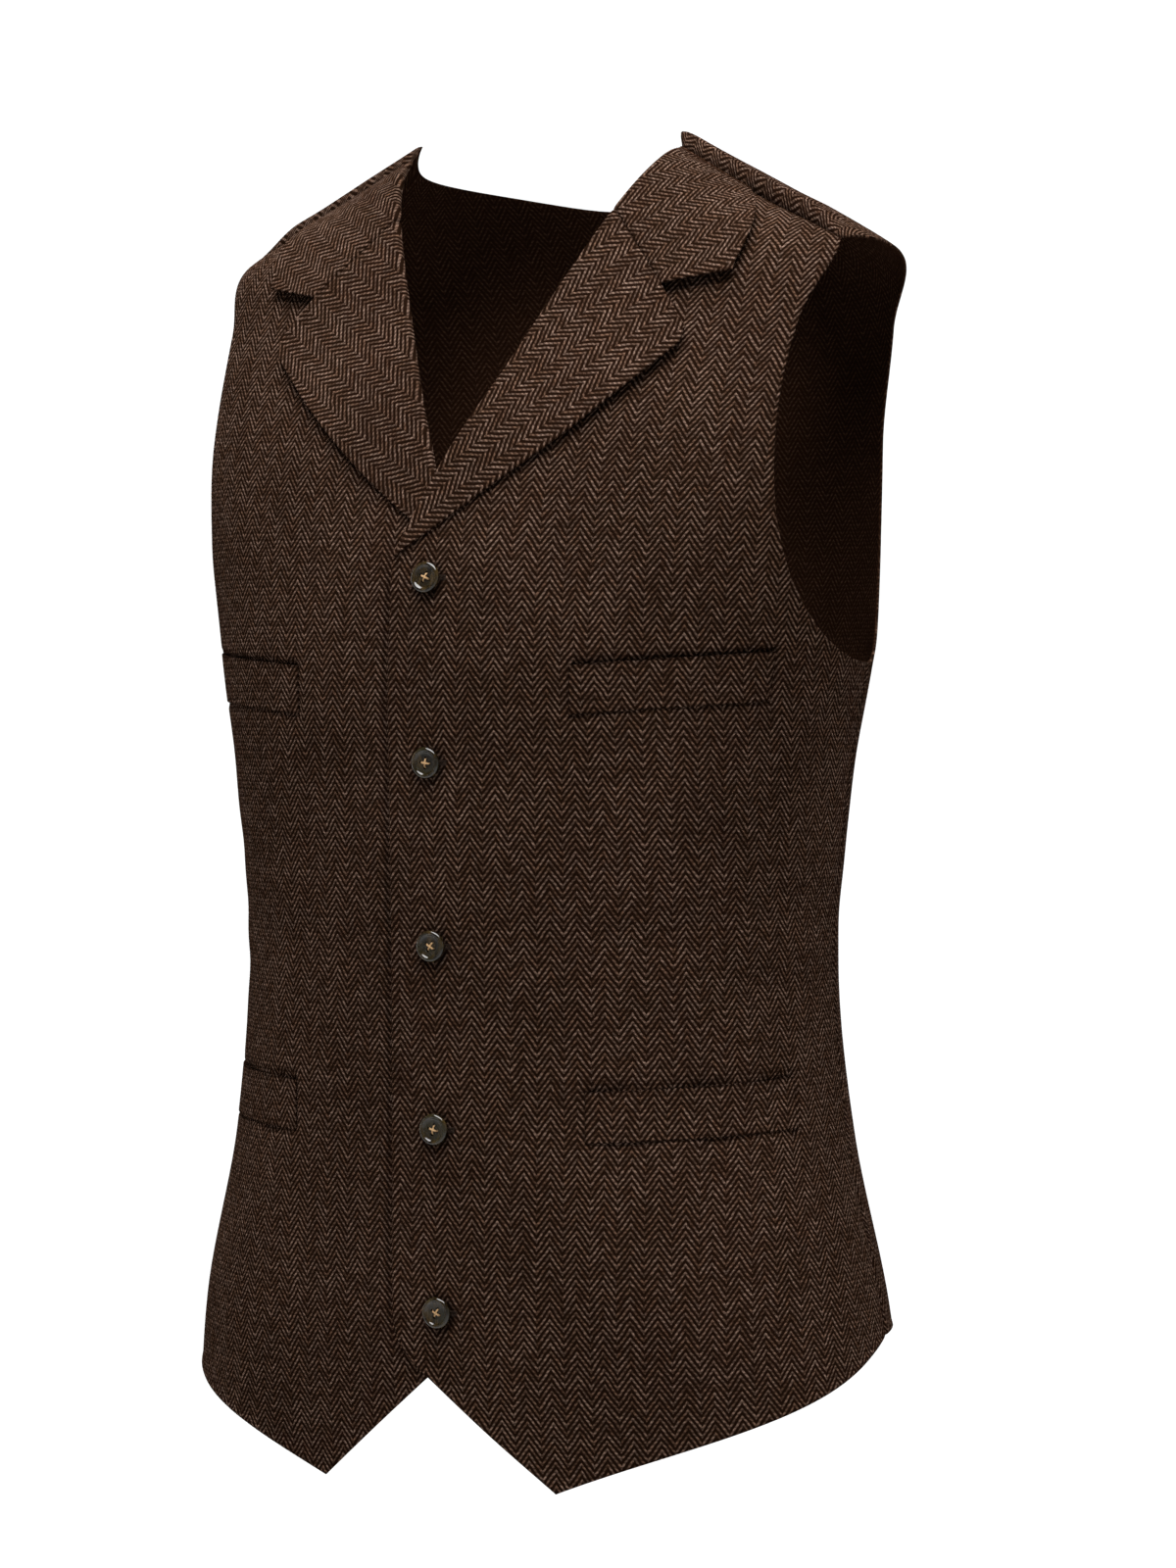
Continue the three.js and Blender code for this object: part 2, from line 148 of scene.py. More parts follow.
CREASES_BACK = [
    dict(deg=128, z=-395, length=130, width=13, depth=1.5, lean=6),
    dict(deg=150, z=-420, length=120, width=12, depth=1.3, lean=-5),
    dict(deg=140, z=-448, length=95, width=14, depth=1.0, lean=9),
    dict(deg=165, z=-372, length=90, width=15, depth=1.1, lean=3),
    dict(deg=112, z=-330, length=80, width=15, depth=1.2, lean=-38),
    dict(deg=122, z=-290, length=85, width=18, depth=1.0, lean=-55),
    dict(deg=160, z=-180, length=110, width=26, depth=0.9, lean=84),
    dict(deg=138, z=-560, length=90, width=24, depth=1.0, lean=94),
]
CREASE_BEND = 0.0012  # a crease bends off straight by this, times the square of the way along it
CREASE_REACH = 60  # how far through the garment a crease still counts
CREASE_FADE = 2.2  # how soon a crease fades towards its ends
CREASE_RIDGE = dict(share=0.45, at=1.5)  # the lower ridge above a crease

# Weave: columns of slanting ribs that turn back and forth
COLUMN = 6.9  # width of one column
RIB = 4.05  # from one rib to the next, along the column
RIB_SLOPE = 1.36
ROW = RIB / 2  # from one row of weft to the next
WEAVE_LEVEL = -300.0  # the weave is measured up and down from this height
WELT_WEAVE = (3.1, 1.7)  # how far the weave of a welt is off from that of the front
YARN_WANDER = dict(across=0.65, along=0.75)
PALE_STREAK = 3.0  # how long a stretch of pale yarn keeps its colour

# How the weave lies on the pieces over the front: turned in degrees, and eased across and along
LAPEL_WEAVE = dict(
    left=dict(turn=51, across=0.9, along=1.05),
    right=dict(turn=58, across=0.87, along=1.14),
)
COLLAR_WEAVE = dict(
    left=dict(turn=62.5, across=0.92, along=1.12),
    right=dict(turn=59, across=0.84, along=1.28),
)

# Where panels are sewn or turned, the face dips or swells: how deep, how wide, and the side seam's share
SEAM_DIP = dict(depth=1.6, width=1.7, side=0.5)
# painted shadow beside the seams: how dark, how wide, and the side seam's share
SEAM_SHADOW = dict(dark=0.95, width=1.8, side=0.3)
EDGE_SWELL = dict(height=0.55, at=1.9, width=1.3)
THIN_END = dict(depth=1.1, width=6)  # of the collar, under the shoulder seam
MOUTH_DIP = dict(depth=0.9, at=0.9, width=1.5)  # above a welt
UNDER_DIP = dict(depth=0.35, at=0.5, width=1.1)  # below a welt
# Painted shadows in the cloth's colour, beside pocket mouths and welts, the lap's edge and the buttons: how
# dark, where and how wide
MOUTH_SHADOW = dict(dark=0.5, at=0.9, width=1.6)
UNDER_SHADOW = dict(share=0.5, at=0.3, width=1.3)
WELT_SHADOW = dict(top=0.7, bottom=0.5, ends=0.4, width=0.8)
LAP_SHADOW = dict(dark=0.42, at=22.2, width=1.5)
BUTTON_SHADOW = dict(dark=0.6, reach=3.2, aside=0.5, down=0.8)
DARKEST = 0.1  # share of its own colour that cloth keeps in the deepest shadow
DEGREE_WIDTH = 2.55  # how wide one degree of the front is at the welts

# The back stands up behind the shoulder seams, and its weave there runs straight over the shoulder
NECK_STAND = dict(aside=-7.0, back=3.0, up=11.6, across=26, start=2.8, end=22)
SHOULDER_STAND = dict(up=7.5, start=3.2, end=34, fade=30)
SHOULDER_WEAVE = dict(reach=60, scale=1.3)


def curve_of(rows, column):
    """A smooth curve through one column of a table whose rows go down in z."""
    z = np.array([row["z"] for row in rows], float)[::-1]
    y = np.array([row[column] for row in rows], float)[::-1]
    step, rise = np.diff(z), np.diff(y) / np.diff(z)
    slope = np.empty_like(y)
    slope[1:-1] = (step[1:] * rise[:-1] + step[:-1] * rise[1:]) / (step[1:] + step[:-1])
    slope[0], slope[-1] = rise[0], rise[-1]

    def value(at):
        at = np.asarray(at, float)
        i = np.clip(np.searchsorted(z, at) - 1, 0, len(step) - 1)
        t = (at - z[i]) / step[i]
        s = 1 - t
        ends = (1 + 2 * t) * s * s * y[i] + t * t * (3 - 2 * t) * y[i + 1]
        inside = ends + step[i] * (t * s * s * slope[i] - t * t * s * slope[i + 1])
        above = y[-1] + (at - z[-1]) * slope[-1]
        below = y[0] + (at - z[0]) * slope[0]
        return np.where(at > z[-1], above, np.where(at < z[0], below, inside))

    return value


half_width = curve_of(BODY, "half_width")
front_reach = curve_of(BODY, "front")
back_reach = curve_of(BODY, "back")
side_y = curve_of(BODY, "side_y")


def smooth(value, low, high):
    t = np.clip((np.asarray(value, float) - low) / (high - low), 0, 1)
    return t * t * (3 - 2 * t)


def mix(a, b, t):
    return a + (b - a) * t


def bell(away, width):
    return np.exp(-((away / width) ** 2))


def form_point(phi, z):
    """The garment's form: the point at an angle round the section at height z."""
    sine, cosine = np.sin(phi), np.cos(phi)
    reach = np.where(cosine > 0, front_reach(z), back_reach(z))
    total = (np.abs(sine) / half_width(z)) ** OVAL_POWER + (np.abs(cosine) / reach) ** OVAL_POWER
    r = total ** (-1 / OVAL_POWER)
    return np.stack([r * sine, side_y(z) - r * cosine, z + 0 * r], -1)


def unit(vectors):
    return vectors / np.linalg.norm(vectors, axis=-1, keepdims=True)


def round_direction(phi, z):
    return form_point(phi + 0.002, z) - form_point(phi - 0.002, z)


def form_normal(phi, z):
    up = form_point(phi, z + 0.5) - form_point(phi, z - 0.5)
    return unit(np.cross(round_direction(phi, z), up))


def angle_at(x, z):
    """The angle at which the front of the section at height z reaches x."""
    share = 1 - (np.abs(x) / half_width(z)) ** OVAL_POWER
    return np.arctan2(x, front_reach(z) * share ** (1 / OVAL_POWER))


def lap_lift(phi, z):
    layers = (
        1
        + smooth(z, LAP_DEEP["start"], LAP_DEEP["full"])
        - 2 * smooth(z, LAP_DEEP["until"], LAP_DEEP["gone"])
    )
    x = form_point(phi, z)[..., 0]
    return LAYER * layers * (1 - smooth(x, LAP_ACROSS["full"], LAP_ACROSS["gone"]))


def crease_depth(phi, z):
    """How far the soft creases sink the cloth."""
    p = form_point(phi, z)
    depth = np.zeros(p.shape[:-1])
    for crease in CREASES_FRONT + CREASES_BACK:
        middle = form_point(math.radians(crease["deg"]), crease["z"])
        normal = form_normal(math.radians(crease["deg"]), crease["z"])
        level = unit(np.cross((0.0, 0.0, 1.0), normal))
        rise = np.cross(normal, level)
        lean = math.radians(crease["lean"])
        away = p - middle
        along = away @ (level * math.cos(lean) + rise * math.sin(lean))
        bend = CREASE_BEND * along * along
        across = away @ (rise * math.cos(lean) - level * math.sin(lean)) - bend
        near = bell(away @ normal, CREASE_REACH)
        fade = bell(CREASE_FADE * along, crease["length"])
        valley = bell(across, crease["width"])
        ridge_at = CREASE_RIDGE["at"] * crease["width"]
        ridge = CREASE_RIDGE["share"] * bell(across - ridge_at, crease["width"])
        depth += crease["depth"] * fade * near * (valley - ridge)
    return depth


def cloth_point(phi, z, off, lapped):
    lift = off - crease_depth(phi, z) + (lap_lift(phi, z) if lapped else 0)
    return form_point(phi, z) + form_normal(phi, z) * lift[..., None]


# Outlines, as arrays of (degrees or x, z)
def line(start, end, steps):
    t = np.linspace(0, 1, steps + 1)[:, None]
    return mix(np.array(start, float), np.array(end, float), t)


def bezier(start, controls, end, steps):
    t = np.linspace(0, 1, steps + 1)[:, None]
    s = 1 - t
    a, b, c, d = (np.array(p, float) for p in (start, *controls, end))
    return s**3 * a + 3 * s * s * t * b + 3 * s * t * t * c + t**3 * d


def chain(*stretches):
    return np.concatenate([stretches[0]] + [stretch[1:] for stretch in stretches[1:]])


def on_front(pairs):
    pairs = np.asarray(pairs, float)
    return np.stack([angle_at(pairs[..., 0], pairs[..., 1]), pairs[..., 1]], -1)


def turned(pairs):
    pairs = np.asarray(pairs, float)
    return np.stack([np.radians(pairs[..., 0]), pairs[..., 1]], -1)


def shifted(places, distance):
    """Places moved sideways round the section by a distance."""
    p = form_point(places[..., 0], places[..., 1])
    r = np.hypot(p[..., 0], p[..., 1] - side_y(places[..., 1]))
    return np.stack([places[..., 0] + distance / r, places[..., 1]], -1)


# Distances on the cloth, for the weave
def round_and_up(phi, z):
    """How far a place is round the garment from the middle of the front, and how high along it."""
    steps = np.linspace(0, 1, 25)
    ring = form_point(phi[..., None] * steps, z[..., None] + 0 * steps)
    round_it = np.linalg.norm(np.diff(ring, axis=-2), axis=-1).sum(-1) * np.sign(phi)
    heights = WEAVE_LEVEL + (z[..., None] - WEAVE_LEVEL) * steps
    angles = phi[..., None] + 0 * steps
    climb = np.diff(form_point(angles, heights), axis=-2)
    around = unit(round_direction(angles[..., 1:], (heights[..., 1:] + heights[..., :-1]) / 2))
    climb -= (climb * around).sum(-1, keepdims=True) * around
    height = np.linalg.norm(climb, axis=-1).sum(-1) * np.sign(z - WEAVE_LEVEL)
    return np.stack([round_it, height], -1)


def fine_steps(count, width, margins=(0.12, 0.4, 0.8)):
    """Shares from 0 to 1, with close steps at both ends where a turned edge is round."""
    ends = np.array(margins) / width
    return np.concatenate([[0], ends, np.linspace(0, 1, count + 1)[1:-1], (1 - ends)[::-1], [1]])


def resampled(outline, shares):
    """Places along an outline at shares of its number of points."""
    at = shares * (len(outline) - 1)
    i = np.clip(at.astype(int), 0, len(outline) - 2)
    return mix(outline[i], outline[i + 1], (at - i)[:, None])


def round_off(distance, thickness):
    """How far the face of a turned edge lies under the flat face of the cloth."""
    r = thickness / 2
    inward = np.clip(r - distance, 0, r)
    return r - np.sqrt(np.maximum(r * r - inward * inward, (EDGE_LEAST * r) ** 2))


def edge_distances(points):
    """How far each point of a grid is from the grid's first and last rows and columns."""
    along = np.linalg.norm(np.diff(points, axis=0), axis=-1)
    across = np.linalg.norm(np.diff(points, axis=1), axis=-1)
    down = np.concatenate([np.zeros((1, points.shape[1])), along.cumsum(0)])
    right = np.concatenate([np.zeros((points.shape[0], 1)), across.cumsum(1)], 1)
    return dict(start=down, end=down[-1:] - down, left=right, right=right[:, -1:] - right)


def to_nearest_edge(away):
    return np.minimum.reduce(list(away.values()))


def beside_seams(away, seams, width):
    """How near each point is to the sewn edges of its grid, from 0 to each edge's own share."""
    near = np.zeros(away["start"].shape)
    for edge, share in seams.items():
        near = np.maximum(near, share * bell(away[edge], width))
    return near


def add_object(name, data):
    item = bpy.data.objects.new(name, data)
    bpy.context.scene.collection.objects.link(item)
    return item


def placed(piece, node):
    if node:
        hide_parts(node)
    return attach(piece, "root")


def cloth_mesh(name, vertices, faces, material_index, uv, shade):
    """A mesh in metres that also carries places in the weave, and how shaded each point is."""
    mesh = bpy.data.meshes.new(name)
    mesh.from_pydata((vertices * MM).tolist(), [], faces.tolist())
    mesh.polygons.foreach_set("material_index", material_index)
    mesh.polygons.foreach_set("use_smooth", [True] * len(mesh.polygons))
    layer = mesh.uv_layers.new(name="weave")
    corner = np.empty(len(mesh.loops), int)
    mesh.loops.foreach_get("vertex_index", corner)
    layer.data.foreach_set("uv", (uv[corner] * MM).ravel())
    mesh.attributes.new("shade", "FLOAT", "POINT").data.foreach_set("value", shade)
    mesh.update()
    return mesh


def wall(kind, side, outer, inner, uv, shadow):
    """A closed shell of cloth from two grids of points; its inside shows the cloth's reverse."""
    rows, columns = outer.shape[:2]
    count = rows * columns
    at = np.arange(count).reshape(rows, columns)
    quads = np.stack([at[:-1, :-1], at[:-1, 1:], at[1:, 1:], at[1:, :-1]], -1).reshape(-1, 4)
    behind = (quads + count)[:, ::-1]
    border = np.concatenate([at[0, :-1], at[:-1, -1], at[-1, :0:-1], at[:0:-1, 0]])
    following = np.roll(border, -1)
    rim = np.stack([following, border, border + count, following + count], -1)
    faces = np.concatenate([quads, behind, rim])
    vertices = np.concatenate([outer.reshape(-1, 3), inner.reshape(-1, 3)])
    uv = np.tile(uv.reshape(-1, 2), (2, 1))
    if side == "right":
        vertices = vertices * (-1, 1, 1)
        uv = uv * (-1, 1)
        faces = faces[:, ::-1]
    index = np.repeat([0, 1, 0], [len(quads), len(behind), len(rim)])
    # painted shade: the share of its colour each point keeps, from the shadows worked out for its piece;
    # none on the reverse
    shade = np.clip(1 - np.concatenate([shadow.ravel(), np.zeros(count)]), DARKEST, 1)
    name = f"{kind}_{side}_cloth"
    piece = add_object(name, cloth_mesh(name, vertices, faces, index, uv, shade))
    for material in (tweed_face, tweed_reverse):
        piece.data.materials.append(material)
    return placed(piece, f"{kind}_{side}")


# Outlines of the panels
def neck_edge(from_z, to_z, steps):
    def neck_x(z):
        return mix(EDGE_X, NECK_POINT[0], (z - BREAK_Z) / (NECK_POINT[1] - BREAK_Z)) + ROLL_ROOM

    return on_front(line((neck_x(from_z), from_z), (neck_x(to_z), to_z), steps))


FINE = 12  # places worked out on an outline for each step of its solid
FRONT_SIZE = dict(length=640, width=220)  # about, to set the close steps beside its edges
BACK_SIZE = dict(length=600, width=230)
LAP_COLUMNS = np.linspace(0.15, 0.19, 12)  # close columns where the lap's edge casts its shadow
SHOULDER_ROWS = np.linspace(0.94, 0.999, 28)  # close rows where the back stands up
lapel_edge = neck_edge(BREAK_Z, GORGE_Z, 12 * FINE)
collar_edge = neck_edge(GORGE_Z, NECK_POINT[1], 5 * FINE)


def shoulder_seam(t):
    return mix(collar_edge[-1], turned(SHOULDER_END), np.asarray(t, float)[..., None])


def front_cells(rows, across):
    cutaway = chain(
        line(HEM_TIP, CUTAWAY_START, 4 * FINE),
        bezier(CUTAWAY_START, CUTAWAY_BEND, (EDGE_X, EDGE_END_Z), 3 * FINE),
    )
    edge = chain(
        line((EDGE_X, EDGE_END_Z), (EDGE_X, UNDERARM_ROW_Z), 8 * FINE),
        line((EDGE_X, UNDERARM_ROW_Z), (EDGE_X, BREAK_Z - ROLL_ROOM), 3 * FINE),
        line((EDGE_X, BREAK_Z - ROLL_ROOM), (EDGE_X + ROLL_ROOM, BREAK_Z), FINE),
    )
    left = chain(on_front(cutaway), on_front(edge), lapel_edge, collar_edge)
    low_side = (SIDE_SEAM, mix(SIDE_HEM_Z, UNDERARM_Z, LOW_SIDE_SHARE))
    low_rows, middle_rows = 7 * FINE, 8 * FINE
    right = turned(
        chain(
            line((SIDE_SEAM, SIDE_HEM_Z), low_side, low_rows),
            line(low_side, (SIDE_SEAM, UNDERARM_Z), middle_rows),
            bezier(
                (SIDE_SEAM, UNDERARM_Z),
                ARMHOLE_FRONT[::-1],
                SHOULDER_END,
                len(left) - 1 - low_rows - middle_rows,
            ),
        )
    )
    right = shifted(right, -SEAM_HALF)
    shares = fine_steps(rows, FRONT_SIZE["length"])
    low = np.clip(1 - shares * (len(left) + 1) / low_rows, 0, 1)
    left, right = resampled(left, shares), resampled(right, shares)
    t = np.union1d(fine_steps(across, FRONT_SIZE["width"]), LAP_COLUMNS)
    cells = mix(left[:, None], right[:, None], t[None, :, None])
    cells[-1] = shifted(cells[-1], -SEAM_HALF)
    cells[..., 1] -= HEM_BOW * low[:, None] * np.sin(math.pi * t)[None]
    return cells


def back_cells(rows, across):
    neck_point = (math.degrees(shoulder_seam(0)[0]), NECK_POINT[1])
    low_rows, high_rows = 11 * FINE, 16 * FINE
    right = turned(
        chain(
            line((180, BACK_HEM_Z), (180, UNDERARM_ROW_Z), low_rows),
            line((180, UNDERARM_ROW_Z), (180, BACK_NECK_Z), high_rows // 2),
            bezier((180, BACK_NECK_Z), BACK_NECK, neck_point, high_rows // 2),
        )
    )
    left = turned(
        chain(
            line((SIDE_SEAM, SIDE_HEM_Z), (SIDE_SEAM, UNDERARM_Z), low_rows),
            bezier((SIDE_SEAM, UNDERARM_Z), ARMHOLE_BACK[::-1], SHOULDER_END, high_rows),
        )
    )
    left, right = shifted(left, SEAM_HALF), shifted(right, -SEAM_HALF)
    shares = np.union1d(fine_steps(rows, BACK_SIZE["length"]), SHOULDER_ROWS)
    left, right = resampled(left, shares), resampled(right, shares)
    t = fine_steps(across, BACK_SIZE["width"])
    cells = mix(left[:, None], right[:, None], t[None, :, None])
    cells[-1] = shifted(shoulder_seam(1 - t), SEAM_HALF)
    return cells


def welt_press(phi, z):
    """How far the front sinks under its welts and, deeper, in the pocket mouths; and their shadow."""
    sink, shadow = np.zeros(phi.shape), np.zeros(phi.shape)
    degrees = np.degrees(phi)
    for sizes in WELTS.values():
        t = (degrees - sizes["inner"]) / (sizes["outer"] - sizes["inner"])
        length = DEGREE_WIDTH * (sizes["outer"] - sizes["inner"])
        beside = np.maximum(-t, t - 1) * length
        above = z - mix(sizes["inner_top"], sizes["outer_top"], t)
        below = -sizes["height"] - above
        outside = np.maximum(beside, np.maximum(above, below))
        sink += WELT_PRESS * (1 - smooth(outside, 0.1, 2.3))
        mouth = bell(above - MOUTH_DIP["at"], MOUTH_DIP["width"]) * (1 - smooth(beside, -3, 1))
        under = bell(below - UNDER_DIP["at"], UNDER_DIP["width"]) * (1 - smooth(beside, -2, 1))
        sink += MOUTH_DIP["depth"] * mouth + UNDER_DIP["depth"] * under
        mouth = bell(above - MOUTH_SHADOW["at"], MOUTH_SHADOW["width"]) * (beside < 0)
        under = bell(below - UNDER_SHADOW["at"], UNDER_SHADOW["width"]) * (beside < 0)
        darkest = np.maximum(mouth, UNDER_SHADOW["share"] * under)
        shadow = np.maximum(shadow, MOUTH_SHADOW["dark"] * darkest)
    return sink, shadow


def button_place(i):
    return mix(np.array(BUTTON_FIRST), np.array(BUTTON_LAST), i / (BUTTON_COUNT - 1))


def shadow_of_buttons(points):
    shadow = np.zeros(points.shape[:2])
    for i in range(BUTTON_COUNT):
        x, z = button_place(i) + (BUTTON_SHADOW["aside"], -BUTTON_SHADOW["down"])
        away = np.hypot(points[..., 0] - x, points[..., 2] - z)
        near = 1 - smooth(away, BUTTON_RADIUS, BUTTON_RADIUS + BUTTON_SHADOW["reach"])
        shadow = np.maximum(shadow, BUTTON_SHADOW["dark"] * near)
    return shadow


def shadow_of_lap(points):
    """The right front is shaded beside the edge that laps over it."""
    x, z = points[..., 0], points[..., 2]
    near = bell(x - LAP_SHADOW["at"], LAP_SHADOW["width"])
    near *= smooth(z, EDGE_END_Z - 12, EDGE_END_Z) * (1 - smooth(z, BREAK_Z - 12, BREAK_Z + 4))
    return LAP_SHADOW["dark"] * near


def stand_behind_seam(away):
    """How the back stands up behind the shoulder seam, most of all beside the neck."""

    def behind(sizes):
        return (1 - bell(away["end"], sizes["start"])) * bell(away["end"], sizes["end"])

    beside_neck = bell(away["right"], NECK_STAND["across"])
    neck = beside_neck * behind(NECK_STAND)
    rise = neck[..., None] * np.array([NECK_STAND[way] for way in ("aside", "back", "up")])
    along_seam = (1 - beside_neck) * smooth(away["left"], 0, SHOULDER_STAND["fade"])
    rise[..., 2] += SHOULDER_STAND["up"] * along_seam * behind(SHOULDER_STAND)
    return rise


def weave_at_shoulder(points, flat):
    """Places in the weave of the back, which near the shoulder seam runs straight over the shoulder."""
    below = edge_distances(points)["end"]
    near = np.stack([np.abs(points[..., 0]), points[-1:, :, 2] - below], -1) * SHOULDER_WEAVE["scale"]
    near += (flat[-1] - near[-1]).mean(0)
    return mix(flat, near, bell(below, SHOULDER_WEAVE["reach"])[..., None])


def panel(kind, side, cells, flat):
    """A front or half a back, on the form and sunk at its seams."""
    phi, z = cells[..., 0], cells[..., 1]
    back, lapped = kind == "back", (kind, side) == ("front", "left")
    plain = form_point(phi, z)
    away = edge_distances(plain)
    edge = round_off(to_nearest_edge(away), CLOTH)
    seams = dict(end=1.0, right=0.5) if back else dict(end=1.0)
    side_seam = away["left"] if back else away["right"]
    below_arm = 1 - smooth(z, UNDERARM_Z - 4, UNDERARM_Z)

    def near_seams(sizes):
        near_side = sizes["side"] * below_arm * bell(side_seam, sizes["width"])
        return np.maximum(beside_seams(away, seams, sizes["width"]), near_side)

    sink = SEAM_DIP["depth"] * near_seams(SEAM_DIP)
    shadow = SEAM_SHADOW["dark"] * near_seams(SEAM_SHADOW)
    turned_edge = away["start"] if back else np.minimum(away["left"], away["start"])
    sink -= EDGE_SWELL["height"] * bell(turned_edge - EDGE_SWELL["at"], EDGE_SWELL["width"])
    press = 0
    if not back:
        press, mouths = welt_press(phi, z)
        cast = shadow_of_buttons(plain) if lapped else shadow_of_lap(plain)
        shadow = np.maximum.reduce([shadow, mouths, cast])
    outer = cloth_point(phi, z, -edge - sink - press, lapped)
    inner = cloth_point(phi, z, edge - CLOTH - press, lapped)
    if back:
        rise = stand_behind_seam(away)
        outer, inner = outer + rise, inner + rise
        flat = weave_at_shoulder(outer, flat)
    return wall(kind, side, outer, inner, flat, shadow)


# Lapels and collars, which roll round the neck edge and lie on the front
ROLL_STEPS = 14
ROLLED_STEPS = 36  # across what lies on the front
ROLLED_WIDTH = 70  # about, to set the close steps beside its edges
LAPEL_LENGTH = 230
COLLAR_LENGTH = 60
BELLY_WAY = np.array((0.6, -0.8))  # to which side the lapel's edge bows out


def rolled(kind, side, edge_of_neck, outer, shares, lifts, weave, seams, thin_end=0):
    """A piece from the neck edge to an outer line: first round the roll, then over the front."""
    lapped = side == "left"
    inner, outer = resampled(edge_of_neck, shares), resampled(outer, shares)
    lifts = np.interp(shares, np.linspace(0, 1, len(lifts)), lifts)
    rows = len(inner)
    middle = cloth_point(inner[:, 0], inner[:, 1], np.full(rows, -CLOTH / 2), lapped)
    along = np.gradient(middle, axis=0)
    out = form_normal(inner[:, 0], inner[:, 1])
    aside = unit(np.cross(out, along))
    t = np.concatenate([[0], fine_steps(ROLLED_STEPS, ROLLED_WIDTH)[4:]])  # none close at the roll
    cells = mix(inner[:, None], outer[:, None], t[None, :, None])
    flat_uv = round_and_up(cells[..., 0], cells[..., 1])
    toward = unit(flat_uv[:, -1] - flat_uv[:, 0])
    end = mix(ROLL_END_LAPPED, ROLL_END, smooth(inner[:, 1], ROLL_LAPPED_Z, ROLL_LAPPED_Z + 15))
    share = np.linspace(0, 1, ROLL_STEPS, endpoint=False)
    angle = np.radians(mix(end[:, None], 90.0, share[None]))
    radius = CLOTH / 2 + GAP + CLOTH / 2
    roll_uv = flat_uv[:, :1] - toward[:, None] * (radius * (math.pi / 2 - angle))[..., None]
    uv = np.concatenate([roll_uv, flat_uv], 1)
    body_lift = lifts[:, None] * t[None] ** 2

    def layer(nearness):
        r = CLOTH / 2 + GAP + nearness[:, :ROLL_STEPS, None]
        roll = (
            middle[:, None]
            + out[:, None] * r * np.sin(angle)[..., None]
            + aside[:, None] * r * np.cos(angle)[..., None]
        )
        near = GAP + nearness[:, ROLL_STEPS:] + body_lift
        flat = cloth_point(cells[..., 0], cells[..., 1], near, lapped)
        return np.concatenate([roll, flat], 1)

    away = edge_distances(layer(np.full((rows, ROLL_STEPS + len(t)), CLOTH / 2)))
    edge = round_off(to_nearest_edge(away), CLOTH)
    dip = SEAM_DIP["depth"] * beside_seams(away, seams, SEAM_DIP["width"])
    if thin_end:
        dip = np.maximum(dip, thin_end * bell(away["end"], THIN_END["width"]))
    shadow = SEAM_SHADOW["dark"] * beside_seams(away, seams, SEAM_SHADOW["width"])
    a = math.radians(weave["turn"])
    uv = uv @ np.array([[math.cos(a), math.sin(a)], [-math.sin(a), math.cos(a)]])
    uv = uv * (weave["across"], weave["along"])
    return wall(kind, side, layer(CLOTH - edge - dip), layer(edge), uv, shadow)


def lapel(side, rows=90):
    start = np.array([EDGE_X + ROLL_ROOM + 3, BREAK_Z + 3])
    t = np.linspace(0, 1, 9 * FINE + 1)[:, None]
    outer_edge = mix(start, np.array(LAPEL_TIP_LOW, float), t)
    outer_edge = outer_edge + LAPEL_BELLY * 4 * t * (1 - t) * BELLY_WAY
    top = chain(line(LAPEL_TIP_LOW, LAPEL_TIP, FINE), line(LAPEL_TIP, NOTCH, 2 * FINE))
    outer = on_front(chain(outer_edge, top))
    lifts = LAPEL_LIFT * smooth(np.arange(len(outer)), FINE, 9 * FINE)
    shares = fine_steps(rows, LAPEL_LENGTH) * (1 - SEAM_HALF / LAPEL_LENGTH)
    return rolled("lapel", side, lapel_edge, outer, shares, lifts, LAPEL_WEAVE[side], dict(end=0.25))


def collar(side, rows=48):
    lower = chain(line(NOTCH, COLLAR_CORNER, FINE), line(COLLAR_CORNER, COLLAR_CORNER_TOP, FINE))
    t = np.linspace(0, 1, 3 * FINE + 1)
    top = on_front([COLLAR_CORNER_TOP])[0]
    side_edge = mix(top, shoulder_seam(COLLAR_SHARE), t[:, None])
    side_edge[:, 0] -= math.radians(COLLAR_HOLLOW) * np.sin(math.pi * t)
    outer = chain(on_front(lower), side_edge)
    lifts = COLLAR_LIFT * (1 - smooth(np.arange(len(outer)), 3 * FINE, 5 * FINE))
    room = SEAM_HALF / COLLAR_LENGTH
    shares = mix(room, 1 - room, fine_steps(rows, COLLAR_LENGTH))
    seams = dict(start=0.25, end=1.0)
    weave = COLLAR_WEAVE[side]
    return rolled("collar", side, collar_edge, outer, shares, lifts, weave, seams, THIN_END["depth"])


# Welts: the top edge stands free, the bottom edge is sewn down
WELT_LENGTH = 88


def welt(kind, side, rows=14, across=64):
    sizes = WELTS[kind]
    t = fine_steps(across, WELT_LENGTH)
    s = fine_steps(rows, sizes["height"], (0.1, 0.3, 0.6, 1.0))
    phi = np.radians(mix(sizes["inner"], sizes["outer"], t)[None] + 0 * s[:, None])
    top = mix(sizes["inner_top"], sizes["outer_top"], t)[None]
    z = top - sizes["height"] * (1 - s[:, None])
    away = edge_distances(form_point(phi, z))
    edge = round_off(to_nearest_edge(away), WELT_CLOTH)
    off = np.full_like(z, WELT_GAP - WELT_PRESS)
    lapped = side == "left"
    outer = cloth_point(phi, z, off + WELT_CLOTH - edge, lapped)
    inner = cloth_point(phi, z, off + edge, lapped)
    edges = dict(end=WELT_SHADOW["top"], start=WELT_SHADOW["bottom"], left=WELT_SHADOW["ends"])
    edges["right"] = edges["left"]
    shadow = beside_seams(away, edges, WELT_SHADOW["width"])
    uv = round_and_up(phi, z) + WELT_WEAVE
    return wall(f"welt_{kind}", side, outer, inner, uv, shadow)


